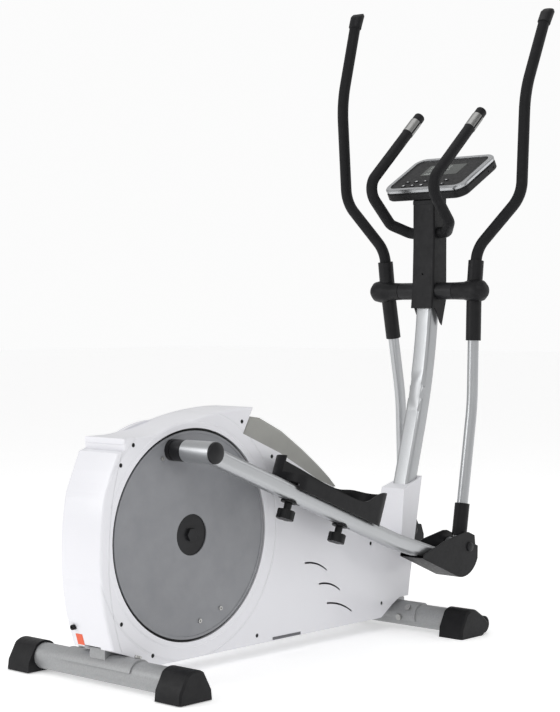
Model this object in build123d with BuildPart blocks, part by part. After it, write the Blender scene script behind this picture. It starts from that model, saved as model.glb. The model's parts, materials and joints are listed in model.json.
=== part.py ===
from build123d import *
from math import atan2, cos, degrees, hypot, radians, sin, sqrt, tan
import os

# Elliptical trainer with a rear crank. +X points forward to the console, +Y to the user's left, +Z up.
# Outlines below are in millimetres, forward of the crank axis and above the floor.
# The origin is on the floor, below the middle of the whole machine.

os.makedirs("parts", exist_ok=True)

SIDES = (("right", -1), ("left", 1))

# driving dimensions
crank_x = -448.4
crank_z = 317.0
crank_radius = 205.0
crank_angle = 107.2
swing_x, swing_z = 964.0, 879.0
swing_length = 671.3
arm_length = 998.3
disc_radius = 236.0
shell_half = 67.0
wall = 3.0
taper = 0.095

stabilizer_radius = 30.0
stabilizer_z = 36.0
rear_x, front_x = -201.0, 787.0
cap_inner = 208.0
rear_half, front_half = 285.0, 280.0

axle_radius = 10.0
running = 0.05
hub_y = 146.0
pivot_y = 155.0
arm_pin_y = 170.0
arm_half = 20.0


def save(piece, name):
    piece.part.label = name
    export_step(piece.part, f"parts/{name}.step")


def save_pair(piece, name):
    """Right-hand piece and its mirror image."""
    save(piece, f"{name}_right")
    with BuildPart() as twin:
        add(piece.part.mirror(Plane.XZ))
    save(twin, f"{name}_left")


def at(x, y, z):
    """Point given forward of the crank axis."""
    return Vector(crank_x + x, y, z)


def upright(y=0.0):
    """Plane seen from the right side: local x forward of the crank axis, local y up, normal to -Y."""
    return Plane(origin=(crank_x, y, 0), x_dir=(1, 0, 0), z_dir=(0, -1, 0))


def turned(x, z, side, profile):
    """Solid turned about a crosswise axis; the profile is (distance outward from the middle, radius)."""
    centre = at(x, 0, z)
    with BuildPart() as body:
        with BuildSketch(Plane(origin=centre, x_dir=(0, side, 0), z_dir=(side, 0, 0))):
            with BuildLine():
                Polyline(*profile, close=True)
            make_face()
        revolve(axis=Axis(centre, (0, 1, 0)))
    return body.part


def barrel(x, z, side, inner, outer, radius, bore=0.0):
    """Crosswise cylinder between two distances from the middle plane."""
    return turned(x, z, side, [(inner, bore), (outer, bore), (outer, radius), (inner, radius)])


def rod(start, end, radius, tip=None):
    """Round bar between two points, tapering to the tip radius when one is given."""
    run = Vector(end) - Vector(start)
    with BuildPart() as body:
        with BuildSketch(Plane(origin=start, z_dir=run)):
            Circle(radius)
        if tip is not None:
            with BuildSketch(Plane(origin=end, z_dir=run)):
                Circle(tip)
            loft()
        else:
            extrude(amount=run.length)
    return body.part


def bent_rod(points, radii, radius):
    """Round bar along straight runs joined by arcs."""
    with BuildPart() as body:
        with BuildLine() as path:
            FilletPolyline(*points, radius=radii)
        with BuildSketch(Plane(origin=path.line @ 0, z_dir=path.line % 0)):
            Circle(radius)
        sweep()
    return body.part


def side_block(outline, inner, outer, side=1):
    """Side outline drawn out from one distance off the middle plane to another."""
    with BuildPart() as body:
        with BuildSketch(upright(side * inner)):
            with BuildLine():
                Polyline(*outline, close=True)
            make_face()
        extrude(amount=-side * (outer - inner))
    return body.part


# linkage at rest -------------------------------------------------------------------------------
def pin(side):
    """Crank pin, the right one at the crank angle and the left one opposite."""
    reach = -side * crank_radius
    return reach * cos(radians(crank_angle)), crank_z + reach * sin(radians(crank_angle))


def knee(side):
    """Front pivot, where the circles of the pedal arm and the swing arm meet, low and behind."""
    px, pz = pin(side)
    gap = hypot(swing_x - px, swing_z - pz)
    along = (arm_length**2 - swing_length**2 + gap**2) / (2 * gap)
    across = sqrt(arm_length**2 - along**2)
    ux, uz = (swing_x - px) / gap, (swing_z - pz) / gap
    return px + along * ux + across * uz, pz + along * uz - across * ux


def swing_point(side, ahead, up, out):
    """Point of a swing arm, from its measures ahead of and above the swing axle."""
    qx, qz = knee(side)
    lean = atan2(swing_x - qx, swing_z - qz)
    return at(
        swing_x + ahead * cos(lean) + up * sin(lean),
        side * out,
        swing_z - ahead * sin(lean) + up * cos(lean),
    )


def chord(side):
    """Angle of the line from the crank pin to the front pivot."""
    (px, pz), (qx, qz) = pin(side), knee(side)
    return atan2(qz - pz, qx - px)


def arm_point(side, along, up, out):
    """Point of a pedal arm, from its measures along and above the line between its two pivots."""
    px, pz = pin(side)
    turn = chord(side)
    return at(
        px + along * cos(turn) - up * sin(turn),
        side * out,
        pz + along * sin(turn) + up * cos(turn),
    )


def arm_side(side, out):
    """Side plane of a pedal arm: local x along the line between its pivots, local y above it."""
    turn = chord(side)
    return Plane(origin=arm_point(side, 0, 0, out), x_dir=(cos(turn), 0, sin(turn)), z_dir=(0, -1, 0))


bend_along, bend_drop = 718.0, -46.0
arm_end = 1005.0


def deck(side, height):
    """Plane along the straight rear run of a pedal arm: local x along it, local y to the left."""
    turn = chord(side) + atan2(bend_drop, bend_along)
    up = Vector(-sin(turn), 0, cos(turn))
    start = arm_point(side, 0, 0, 0) + up * height
    return Plane(origin=start, x_dir=(cos(turn), 0, sin(turn)), z_dir=up)


# stabilizers -----------------------------------------------------------------------------------
plate_thick = 4.0
bolt_radius = 4.0
rear_bolts = ((70, 92), (70, -92))
front_bolts = ((142, 93), (142, -93), (186, 69), (186, -69))


def radial(x, angle, y, inner, outer, radius):
    """Round bar that stands out from the centre line of a foot tube."""
    reach = Vector(cos(radians(angle)), 0, sin(radians(angle)))
    centre = at(x, y, stabilizer_z)
    return rod(centre + reach * inner, centre + reach * outer, radius)


def stabilizer(name, x, half, bolts):
    """Round foot tube across the machine, with holes for the saddle bolts."""
    with BuildPart() as tube:
        with BuildSketch(upright()):
            with Locations((x, stabilizer_z)):
                Circle(stabilizer_radius)
                Circle(stabilizer_radius - 2.0, mode=Mode.SUBTRACT)
        extrude(amount=half - 5, both=True)
        for angle, y in bolts:
            add(radial(x, angle, y, 20, 50, bolt_radius), mode=Mode.SUBTRACT)
    save(tube, name)


def saddle(x, first, last, half, bolts):
    """Curved plate that hugs a foot tube between two angles, with its bolt holes."""
    spread = radians(last - first) / 2
    middle = radians((first + last) / 2)
    rays = [(cos(middle + k * spread), sin(middle + k * spread)) for k in (-1, 0, 1)]
    outer = stabilizer_radius + plate_thick
    outside = [(x + outer * c, stabilizer_z + outer * s) for c, s in rays]
    inside = [(x + stabilizer_radius * c, stabilizer_z + stabilizer_radius * s) for c, s in rays]
    with BuildPart() as plate:
        with BuildSketch(upright()):
            with BuildLine():
                ThreePointArc(*outside)
                Line(outside[2], inside[2])
                ThreePointArc(*inside)
                Line(inside[0], outside[0])
            make_face()
        extrude(amount=half, both=True)
        for angle, y in bolts:
            add(radial(x, angle, y, 20, 50, bolt_radius), mode=Mode.SUBTRACT)
    return plate.part


stabilizer("rear_stabilizer", rear_x, rear_half, rear_bolts)
stabilizer("front_stabilizer", front_x, front_half, front_bolts)

rear_saddle = saddle(rear_x, 25, 165, 112, rear_bolts)
front_saddle = saddle(front_x, 15, 200, 118, front_bolts)
with BuildPart() as saddle_plates:
    add(rear_saddle)
    add(front_saddle)
save(saddle_plates, "saddle_plates")

# end caps, levelling discs and transport rollers -----------------------------------------------
cap_top = stabilizer_z + stabilizer_radius + 5.0
disc_recess = 27.0
leveller_y = 252.0
roller_x, roller_z, roller_r = 846.0, 24.5, 22.0
roller_y, roller_half = 258.0, 13.0
slot_start = roller_y - roller_half - 2.0

cap_draw = 5.0


def cap_block(middle, outline, crown, half):
    """Foot cap on the right side: its outline carried outward, then drawn in over the last stretch."""

    def face(y, size):
        with BuildSketch(upright(-y)) as side_face:
            with BuildLine():
                Polyline(*[(middle + (x - middle) * size, z * size) for x, z in outline])
                ThreePointArc(*[(middle + (x - middle) * size, z * size) for x, z in crown])
            make_face()
        return side_face.sketch

    with BuildPart() as block:
        extrude(face(cap_inner, 1.0), amount=half - cap_draw - cap_inner, dir=(0, -1, 0))
        loft(sections=[face(half - cap_draw, 1.0), face(half, 0.93)])
    return block.part


side = -1
with BuildPart() as rear_cap:
    add(
        cap_block(
            rear_x,
            [
                (rear_x - 26, cap_top - 9),
                (rear_x - 46, 26),
                (rear_x - 49, 2),
                (rear_x + 49, 2),
                (rear_x + 46, 26),
                (rear_x + 26, cap_top - 9),
            ],
            [(rear_x + 26, cap_top - 9), (rear_x, cap_top), (rear_x - 26, cap_top - 9)],
            rear_half,
        )
    )
    with BuildSketch(upright(side * cap_inner)):
        with Locations((rear_x, stabilizer_z)):
            Circle(stabilizer_radius)
    extrude(amount=-side * (rear_half - cap_draw - cap_inner), mode=Mode.SUBTRACT)
    with BuildSketch(Plane.XY):
        with Locations((crank_x + rear_x, side * leveller_y)):
            Circle(disc_recess + 1)
    extrude(amount=5.0, mode=Mode.SUBTRACT)
save_pair(rear_cap, "rear_cap")

with BuildPart() as leveller:
    with BuildSketch(Plane.XY):
        with Locations((crank_x + rear_x, side * leveller_y)):
            Circle(disc_recess)
            with PolarLocations(disc_recess, 24):
                Circle(1.1, mode=Mode.SUBTRACT)
    extrude(amount=4.7)
save_pair(leveller, "leveller")

with BuildPart() as front_cap:
    add(
        cap_block(
            front_x,
            [
                (front_x - 26, cap_top - 9),
                (front_x - 46, 26),
                (front_x - 49, 0),
                (front_x + 42, 0),
                (roller_x + 7, roller_z - 9),
                (roller_x + 8, roller_z + 7),
                (front_x + 44, cap_top - 20),
                (front_x + 20, cap_top - 5),
            ],
            [(front_x + 20, cap_top - 5), (front_x - 4, cap_top), (front_x - 26, cap_top - 9)],
            front_half,
        )
    )
    with BuildSketch(upright(side * cap_inner)):
        with Locations((front_x, stabilizer_z)):
            Circle(stabilizer_radius)
    extrude(amount=-side * (front_half - cap_draw - cap_inner), mode=Mode.SUBTRACT)
    with BuildSketch(upright(side * slot_start)):
        with Locations((roller_x, roller_z)):
            Circle(roller_r + 2)
            Rectangle(60, 2 * roller_r + 4, align=(Align.MIN, Align.CENTER))
    extrude(amount=-side * (2 * roller_half + 4), mode=Mode.SUBTRACT)
    with BuildSketch(upright(side * (slot_start - 2))):
        with Locations((roller_x, roller_z)):
            Circle(4.0)
    extrude(amount=-side * (2 * roller_half + 8))
save_pair(front_cap, "front_cap")

with BuildPart() as roller:
    add(barrel(roller_x, roller_z, side, roller_y - roller_half, roller_y + roller_half, roller_r, 4.0 + running))
    for ridge in (-7.0, 0.0, 7.0):
        ring = barrel(
            roller_x, roller_z, side, roller_y + ridge - 1, roller_y + ridge + 1, roller_r + 1, roller_r - 1.2
        )
        add(ring, mode=Mode.SUBTRACT)
save_pair(roller, "roller")

# mast ------------------------------------------------------------------------------------------
mast_lean = 0.285
mast_foot_x, mast_foot_z = 868.0 - 345.0 * mast_lean, 45.0
mast_x = 966.0
mast_corner_z = mast_foot_z + (mast_x - mast_foot_x) / mast_lean
mast_bend = 222.0 / tan(atan2(mast_lean, 1) / 2)
mast_width, mast_depth, mast_round = 50.0, 42.0, 9.0
mast_top = 1100.0
mast_base_z = 72.0
bar_z = 1036.0
bar_radius = 15.0
plate_half = 30.0


def mast_bar(width, depth, corner):
    """Closed bar along the line of the mast."""
    with BuildPart() as bar:
        with BuildLine() as path:
            FilletPolyline(
                at(mast_foot_x, 0, mast_foot_z),
                at(mast_x, 0, mast_corner_z),
                at(mast_x, 0, mast_top),
                radius=mast_bend,
            )
        with BuildSketch(Plane(origin=path.line @ 0, x_dir=(0, 1, 0), z_dir=path.line % 0)):
            RectangleRounded(width, depth, corner)
        sweep()
    return bar.part


outer_bar = mast_bar(mast_width, mast_depth, mast_round)
inner_bar = mast_bar(mast_width - 5, mast_depth - 5, mast_round - 2.5)
with BuildPart() as mast:
    add(outer_bar)
    add(inner_bar, mode=Mode.SUBTRACT)
    split(bisect_by=Plane.XY.offset(mast_base_z), keep=Keep.TOP)
    with BuildSketch(upright()):
        with Locations((swing_x, swing_z)):
            Circle(axle_radius)
        with Locations((mast_x, bar_z)):
            Circle(bar_radius)
    extrude(amount=mast_width, both=True, mode=Mode.SUBTRACT)
save(mast, "mast")

# mast shroud, closed over the top of the mast
shroud_half = 36.0
shroud_wall = 2.5
shroud_top = mast_top + 12
collar_radius = 23.0
with BuildPart() as mast_shroud:
    add(
        side_block(
            [
                (931, 833),
                (938, 900),
                (941, 1000),
                (941, shroud_top),
                (997, shroud_top),
                (997, 858),
                (977, 787),
                (968, 796),
                (948, 833),
            ],
            -shroud_half,
            shroud_half,
        )
    )
    rear_edges = mast_shroud.edges().filter_by_position(Axis.X, crank_x + 930, crank_x + 942)
    fillet(rear_edges.filter_by(Axis.Y, reverse=True).filter_by_position(Axis.Z, 834, 1112), 5)
    add(
        side_block(
            [(920, 780), (934, 834), (940.5, 900), (943.5, 1000), (943.5, mast_top), (994.5, mast_top), (994.5, 760)],
            -shroud_half + shroud_wall,
            shroud_half - shroud_wall,
        ),
        mode=Mode.SUBTRACT,
    )
    with BuildSketch(upright()):
        with Locations((swing_x, swing_z)):
            Circle(axle_radius)
        with Locations((mast_x, bar_z)):
            Circle(bar_radius)
    extrude(amount=2 * shroud_half, both=True, mode=Mode.SUBTRACT)
    add(rod(at(920, 0, 925), at(950, 0, 925), 3), mode=Mode.SUBTRACT)
save(mast_shroud, "mast_shroud")

# swing axle with its two collars
hub_inner = 91.0
axle_end = 172.0
with BuildPart() as swing_axle:
    add(barrel(swing_x, swing_z, 1, -axle_end, axle_end, axle_radius))
    for side in (-1, 1):
        add(barrel(swing_x, swing_z, side, shroud_half, hub_inner - 1, collar_radius))
save(swing_axle, "swing_axle")

# base frame ------------------------------------------------------------------------------------
beam_bottom, beam_top, beam_half = 44.0, 84.0, 25.0
fly_x, fly_z, fly_radius = 350.0, 228.0, 112.0
fly_shaft = 8.0
belt_large, belt_small = 150.0, 18.0
fly_supports = (-42.0, 50.0)
with BuildPart() as base_frame:
    add(
        side_block(
            [
                (rear_x - 24, 58),
                (rear_x + 30, beam_bottom),
                (front_x - 34, beam_bottom),
                (front_x - 34, mast_base_z),
                (front_x - 62, beam_top),
                (rear_x - 24, beam_top),
            ],
            -beam_half,
            beam_half,
        )
    )
    add(
        side_block(
            [(front_x - 36, 58), (front_x + 36, 58), (front_x + 36, mast_base_z), (front_x - 36, mast_base_z)],
            -plate_half,
            plate_half,
        )
    )
    for x in (rear_x, front_x):
        add(barrel(x, stabilizer_z, 1, -plate_half, plate_half, stabilizer_radius + plate_thick), mode=Mode.SUBTRACT)
    for side in (-1, 1):
        add(side_block([(-70, beam_top), (70, beam_top), (26, crank_z), (-26, crank_z)], 16, 24, side))
        add(barrel(0, crank_z, side, 14, 32, 32))
    with Locations(at(fly_x, 4, beam_top + 2)):
        Box(50, 96, 4)
    for y in fly_supports:
        add(
            side_block(
                [(fly_x - 25, beam_top), (fly_x + 25, beam_top), (fly_x + 12, fly_z), (fly_x - 12, fly_z)], y - 2, y + 2
            )
        )
        add(barrel(fly_x, fly_z, 1, y - 2, y + 2, 15))
    add(barrel(0, crank_z, 1, -60, 60, axle_radius + running), mode=Mode.SUBTRACT)
    add(barrel(fly_x, fly_z, 1, -60, 60, fly_shaft + running), mode=Mode.SUBTRACT)
save(base_frame, "base_frame")

# flywheel with its belt pulley
with BuildPart() as flywheel:
    add(barrel(fly_x, fly_z, 1, 14, 40, fly_radius, fly_radius - 22))
    add(barrel(fly_x, fly_z, 1, 24, 30, fly_radius - 10))
    add(barrel(fly_x, fly_z, 1, -8, 40, belt_small))
    add(barrel(fly_x, fly_z, 1, -46, 54, fly_shaft))
save(flywheel, "flywheel")

# crank -----------------------------------------------------------------------------------------
disc_inner, disc_outer = 64.0, 67.0
hub_window = 47.0
boss_radius = 24.5
boss_face = 79.0
disc_bolt_along, disc_bolt_across = 197.0, 35.0
with BuildPart() as crank_axle:
    add(barrel(0, crank_z, 1, -68, 68, axle_radius))
    for side in (-1, 1):
        with BuildSketch(upright(side * disc_inner)):
            with Locations((0, crank_z)):
                RegularPolygon(16, 6)
        extrude(amount=-side * 7)
save(crank_axle, "crank_axle")

with BuildPart() as crank_pulley:
    add(barrel(0, crank_z, 1, -8, 8, belt_large, axle_radius))
    for side in (-1, 1):
        add(barrel(0, crank_z, side, 3, 9, belt_large - 12, 26), mode=Mode.SUBTRACT)
    with BuildSketch(upright()):
        with Locations((0, crank_z)):
            with PolarLocations(82, 6):
                Circle(22)
    extrude(amount=10, both=True, mode=Mode.SUBTRACT)
save(crank_pulley, "crank_pulley")


def crank_side(side, out):
    """Plane on one side of the crank: local x towards the crank pin, origin on the crank axis."""
    px, pz = pin(side)
    turn = atan2(pz - crank_z, px)
    return Plane(origin=at(0, side * out, crank_z), x_dir=(cos(turn), 0, sin(turn)), z_dir=(0, -1, 0))


with BuildPart() as crank_arms:
    for _, side in SIDES:
        with BuildSketch(crank_side(side, disc_inner - 12)):
            Circle(60)
            with Locations((crank_radius / 2, 0)):
                SlotCenterToCenter(crank_radius, 2 * boss_radius)
        extrude(amount=-side * 12)
        with BuildSketch(crank_side(side, disc_inner)):
            with Locations((crank_radius, 0)):
                Circle(boss_radius)
        extrude(amount=-side * (boss_face - disc_inner))
    add(barrel(0, crank_z, 1, -80, 80, axle_radius), mode=Mode.SUBTRACT)
save(crank_arms, "crank_arms")

disc_bolts = [(a * disc_bolt_along, b * disc_bolt_across) for a in (-1, 1) for b in (-1, 1)]
with BuildPart() as disc_screws:
    for _, side in SIDES:
        with BuildSketch(crank_side(side, disc_outer)):
            with Locations(*disc_bolts):
                Circle(5)
                RegularPolygon(2.6, 6, mode=Mode.SUBTRACT)
        extrude(amount=-side * 3)
        with BuildSketch(crank_side(side, disc_inner - 5)):
            with Locations(*disc_bolts):
                Circle(2.5)
        extrude(amount=-side * (disc_outer - disc_inner + 5.5))
        with BuildSketch(crank_side(side, disc_inner)):
            with Locations(*disc_bolts):
                Circle(4.5)
        extrude(amount=side * 4)
save(disc_screws, "disc_screws")

for hand, side in SIDES:
    with BuildPart() as disc:
        with BuildSketch(crank_side(side, disc_inner)):
            Circle(disc_radius)
            Circle(hub_window, mode=Mode.SUBTRACT)
            with Locations((crank_radius, 0)):
                Circle(boss_radius, mode=Mode.SUBTRACT)
            with Locations(*disc_bolts):
                Circle(2.5, mode=Mode.SUBTRACT)
        extrude(amount=-side * (disc_outer - disc_inner))
        add(barrel(0, crank_z, side, disc_inner, disc_outer + 1.2, disc_radius, disc_radius - 6))
    save(disc, f"disc_{hand}")

# housing ---------------------------------------------------------------------------------------
lip_radius, lip_outer = 242.0, 256.0
frame_slot = 27.0
front_slope = (0.816, 0.578)
crease = (502.0, 264.0)
screw_radius = 5.0
side_screws = (
    (-178, 530, 67.0),
    (-215, 488, 67.0),
    (-214, 142, 67.0),
    (-121, 60, 67.0),
    (216, 58, 67.0),
    (165, 566, 67.0),
    (268, 478, 67.0),
    (650, 232, 57.3),
    (688, 75, 61.1),
)
vent_height = 4.5
vents = (
    ((386, 211), (429, 205), (468, 185)),
    ((438, 154), (481, 149), (518, 130)),
    ((468, 103), (518, 94), (564, 71)),
)
socket_y, socket_z = 45.0, 128.0
socket_radius = 6.0


rear_arc = ((-260, 157), (-274, 300), (-259, 429))
crown = ((-148, 546), (-62, 560), (10, 578), (120, 595), (207, 598))
nose = (rear_arc[2], (-222, 514), (-203, 520), (-205, 545), crown[0])
underside = (
    crown[4],
    (172, 536),
    (296, 485),
    (440, 410),
    (502, 388),
    (560, 340),
    (620, 295),
    (700, 262),
    (790, 235),
    (795, 262),
    (812, 358),
    (899, 386),
    (858, 246),
    (822, 125),
    (810, 80),
    (769, 80),
    (735, 66),
    (683, 39),
    (-97, 36),
    (-150, 54),
    (-238, 86),
    rear_arc[0],
)


def drawn_in(points, inset):
    """Clockwise outline moved inward by the inset."""
    moved = []
    for before, here, after in zip(points[-1:] + points[:-1], points, points[1:] + points[:1]):
        first, second = Vector(*here) - Vector(*before), Vector(*after) - Vector(*here)
        left, right = Vector(first.Y, -first.X).normalized(), Vector(second.Y, -second.X).normalized()
        corner = Vector(*here) + (left + right) * (inset / (1 + left.dot(right)))
        moved.append((corner.X, corner.Y))
    return moved


def tapered(side, inset):
    """Plane of the slanted front part of the housing side, drawn in by the inset."""
    start = at(crease[0], side * (shell_half - inset * sqrt(1 + taper**2)), crease[1])
    return Plane(origin=start, z_dir=(taper * front_slope[0], side, taper * front_slope[1]))


mast_clearance = mast_bar(mast_width + 1, mast_depth + 1, mast_round)
inner_outline = drawn_in(list(rear_arc + nose[1:-1] + crown + underside[1:-1]), wall)
for hand, side in SIDES:
    with BuildPart() as hollow:
        add(side_block(inner_outline, 0, shell_half - wall, side))
        split(bisect_by=tapered(side, wall), keep=Keep.BOTTOM)
    inner_space = hollow.part
    with BuildPart() as housing:
        with BuildSketch(upright()):
            with BuildLine():
                ThreePointArc(*rear_arc)
                Polyline(*nose)
                Spline(*crown)
                Polyline(*underside)
            make_face()
        extrude(amount=-side * shell_half)
        split(bisect_by=tapered(side, 0), keep=Keep.BOTTOM)
        rounded = housing.edges().filter_by(lambda edge: abs(edge.center().Y) > shell_half - 0.1)
        fillet(rounded.filter_by_position(Axis.X, crank_x - 280, crank_x + 200).filter_by_position(Axis.Z, 100, 600), 7)
        add(inner_space, mode=Mode.SUBTRACT)
        add(barrel(0, crank_z, side, 50, 80, lip_radius), mode=Mode.SUBTRACT)
        add(
            turned(
                0,
                crank_z,
                side,
                [(52, lip_radius), (52, lip_outer), (67, lip_outer), (69, lip_outer - 3), (69, lip_radius)],
            )
        )
        with Locations(at(250, 0, 55)):
            Box(1110, 2 * frame_slot, 70, mode=Mode.SUBTRACT)
        add(mast_clearance, mode=Mode.SUBTRACT)
        with BuildSketch(upright(side * 50)):
            for vent in vents:
                with BuildLine():
                    upper = ThreePointArc(*[(x, z + vent_height / 2) for x, z in vent])
                    lower = ThreePointArc(*[(x, z - vent_height / 2) for x, z in vent])
                    Line(upper @ 0, lower @ 0)
                    Line(upper @ 1, lower @ 1)
                make_face()
        extrude(amount=-side * 30, mode=Mode.SUBTRACT)
        for x, z, face in side_screws:
            add(barrel(x, z, side, face - 8, face + 3, screw_radius), mode=Mode.SUBTRACT)
        if side > 0:
            add(rod(at(-280, socket_y, socket_z), at(-230, socket_y, socket_z), socket_radius), mode=Mode.SUBTRACT)
    save(housing, f"housing_{hand}")

# top cover, an open tray turned over on its seat
cover_half = 58.0
with BuildPart() as top_cover:
    cover_outline = [
        (174.5, 537),
        (197.5, 577),
        (240, 571),
        (317, 536),
        (395, 486),
        (452, 445),
        (513, 388),
        (502, 388),
        (440, 410),
        (296, 485),
    ]
    add(side_block(cover_outline, -cover_half, cover_half))
    upper = top_cover.edges().filter_by(lambda edge: abs(edge.center().Y) > 57)
    chamfer(upper.filter_by(lambda edge: edge.center().Z > 400).sort_by(Axis.Z)[-8:], 6)
    add(
        side_block(
            [
                (180, 530),
                (200, 573.5),
                (239, 567.5),
                (315, 533),
                (393, 483),
                (449.5, 442),
                (487, 405),
                (480, 380),
                (430, 395),
                (290, 460),
            ],
            -cover_half + 3,
            cover_half - 3,
        ),
        mode=Mode.SUBTRACT,
    )
save(top_cover, "top_cover")

# screws of the housing and bolts of the saddles
with BuildPart() as base_screws:
    for side in (-1, 1):
        for x, z, face in side_screws:
            add(barrel(x, z, side, face - 9, face - 0.8, screw_radius))
            add(barrel(x, z, side, face - 2.5, face, 1.6), mode=Mode.SUBTRACT)
    for x, bolts in ((rear_x, rear_bolts), (front_x, front_bolts)):
        for angle, y in bolts:
            add(radial(x, angle, y, 22, stabilizer_radius + plate_thick + 2, bolt_radius))
            add(radial(x, angle, y, stabilizer_radius + plate_thick, stabilizer_radius + plate_thick + 6, 8))
save(base_screws, "base_screws")

# power socket
with BuildPart() as power_socket:
    add(rod(at(-260, socket_y, socket_z), at(-234, socket_y, socket_z), socket_radius))
    add(rod(at(-261, socket_y, socket_z), at(-244, socket_y, socket_z), 2.75), mode=Mode.SUBTRACT)
save(power_socket, "power_socket")

# console ---------------------------------------------------------------------------------------
console_x, console_z = 1011.0, 1202.0
console_high, console_wide = 197.0, 268.0
tilt = (0.862, 0.507)
bezel_thick, console_deep = 12.0, 34.0
window_inset = 14.0
screen_u, screen_high, screen_wide = 22.0, 62.0, 124.0
key_rows = (-45.0, -68.0)
key_columns = (78.0, 48.0, 18.0, -52.0)
key_high, key_wide = 8.0, 14.0
key_gap = 0.3


def console_plane(height):
    """Plane of the console face: local x up the slope, local y to the left."""
    normal = Vector(-tilt[1], 0, tilt[0])
    return Plane(origin=at(console_x, 0, console_z) + normal * height, x_dir=(tilt[0], 0, tilt[1]), z_dir=normal)


def pad(inset, low, high, corner):
    """Rounded block in the console outline drawn in by the inset, between two heights."""
    with BuildPart() as block:
        with BuildSketch(console_plane(low)):
            RectangleRounded(console_high - 2 * inset, console_wide - 2 * inset, corner)
        extrude(amount=high - low)
    return block.part


def tile(u, w, high, wide, low, top, corner):
    """Rounded block at one place of the console face."""
    with BuildPart() as block:
        with BuildSketch(console_plane(low)):
            with Locations((u, w)):
                RectangleRounded(high, wide, corner)
        extrude(amount=top - low)
    return block.part


with BuildPart() as console_shell:
    add(pad(0, -console_deep, -bezel_thick, 34))
    chamfer(console_shell.faces().sort_by(Axis.Z)[0].edges(), 3)
    add(side_block([(940, shroud_top), (998, shroud_top), (998, 1158), (940, 1122)], -34, 34))
    add(pad(window_inset + 0.2, -bezel_thick - 1, -3, 21))
    add(pad(3, -console_deep + 3, -bezel_thick - 3, 31), mode=Mode.SUBTRACT)
    add(pad(window_inset + 4, -bezel_thick - 3, -7, 18), mode=Mode.SUBTRACT)
    add(tile(screen_u, 0, screen_high, screen_wide, -5, 0, 3), mode=Mode.SUBTRACT)
    for u in key_rows:
        for w in key_columns:
            add(tile(u, w, key_high + 2 * key_gap, key_wide + 2 * key_gap, -10, 0, 2), mode=Mode.SUBTRACT)
    for u in (60.0, 35.0):
        port = console_plane(-23).from_local_coords((u, -console_wide / 2 - 5, 0))
        add(rod(port, port + Vector(0, 15, 0), 2.5), mode=Mode.SUBTRACT)
save(console_shell, "console_shell")

with BuildPart() as console_bezel:
    add(pad(0, -bezel_thick, 0, 34))
    chamfer(console_bezel.faces().sort_by(Axis.Z)[-1].edges(), 3)
    add(pad(window_inset, -bezel_thick, 1, 21.2), mode=Mode.SUBTRACT)
save(console_bezel, "console_bezel")

with BuildPart() as console_display:
    add(tile(screen_u, 0, screen_high - 0.4, screen_wide - 0.4, -5, -2.6, 2.8))
save(console_display, "console_display")

keys = [(u, w) for u in key_rows for w in key_columns]
for number, (u, w) in enumerate(keys, 1):
    with BuildPart() as key:
        add(tile(u, w, key_high, key_wide, -8, -1.4, 1.8))
        add(tile(u, w, key_high + 3, key_wide + 3, -10, -7.9, 1.8))
    save(key, f"button_{number}")

# fixed handlebar with its pulse plates
bar_points = [
    at(1061, -105, 1364),
    at(830, -105, 1155),
    at(925, -99, 1060),
    at(mast_x, -60, bar_z),
    at(mast_x, 60, bar_z),
    at(925, 99, 1060),
    at(830, 105, 1155),
    at(1061, 105, 1364),
]
with BuildPart() as fixed_handlebar:
    add(bent_rod(bar_points, (45, 25, 25, 25, 25, 45), bar_radius))
save(fixed_handlebar, "fixed_handlebar")

with BuildPart() as pulse_plates:
    for side in (-1, 1):
        tip, low = at(1061, side * 105, 1364), at(830, side * 105, 1155)
        down = (low - tip).normalized()
        add(rod(tip + down * 25, tip + down * 75, bar_radius + 1))
    for side in (-1, 1):
        tip, low = at(1061, side * 105, 1364), at(830, side * 105, 1155)
        down = (low - tip).normalized()
        add(rod(tip + down * 20, tip + down * 80, bar_radius), mode=Mode.SUBTRACT)
        middle = tip + down * 50
        with BuildSketch(Plane(origin=middle, x_dir=(0, 1, 0), z_dir=down)):
            Rectangle(2 * bar_radius + 10, 5)
        extrude(amount=40, both=True, mode=Mode.SUBTRACT)
save(pulse_plates, "pulse_plates")

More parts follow.
